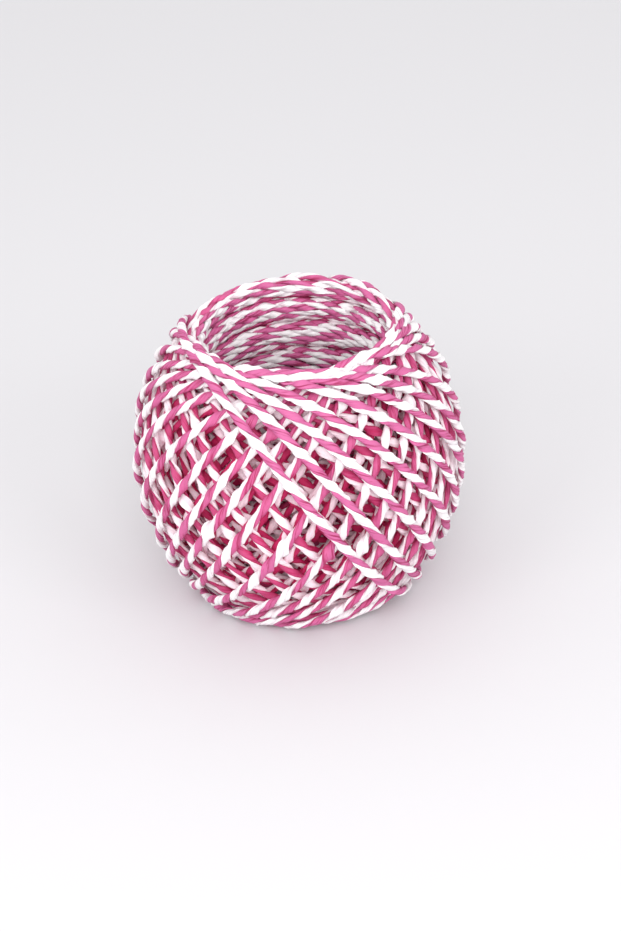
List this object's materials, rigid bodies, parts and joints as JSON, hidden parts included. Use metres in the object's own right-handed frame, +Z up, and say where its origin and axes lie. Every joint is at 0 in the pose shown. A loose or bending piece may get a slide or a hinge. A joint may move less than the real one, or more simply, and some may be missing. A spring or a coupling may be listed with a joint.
{
  "type": "roll of paper cord",
  "caption": "Hollow-hearted ball of two-ply paper cord, cross wound, with an open hole along its axis and a flat rim to stand on.",
  "frame": {"origin": "on the axis of the hole, in the plane of the flat ring that the ball stands on", "axes": "+Z up along the hole; -Y is the side that faces the picture's camera, +X to its right"},
  "size_m": [0.0802, 0.0805, 0.0716],
  "materials": {
    "paper_cord": "two plies of creased twisted paper, one white and one magenta pink, matt with a faint silky sheen"
  },
  "bodies": {
    "root": {"wound_ball": "paper_cord"}
  },
  "joints": []
}
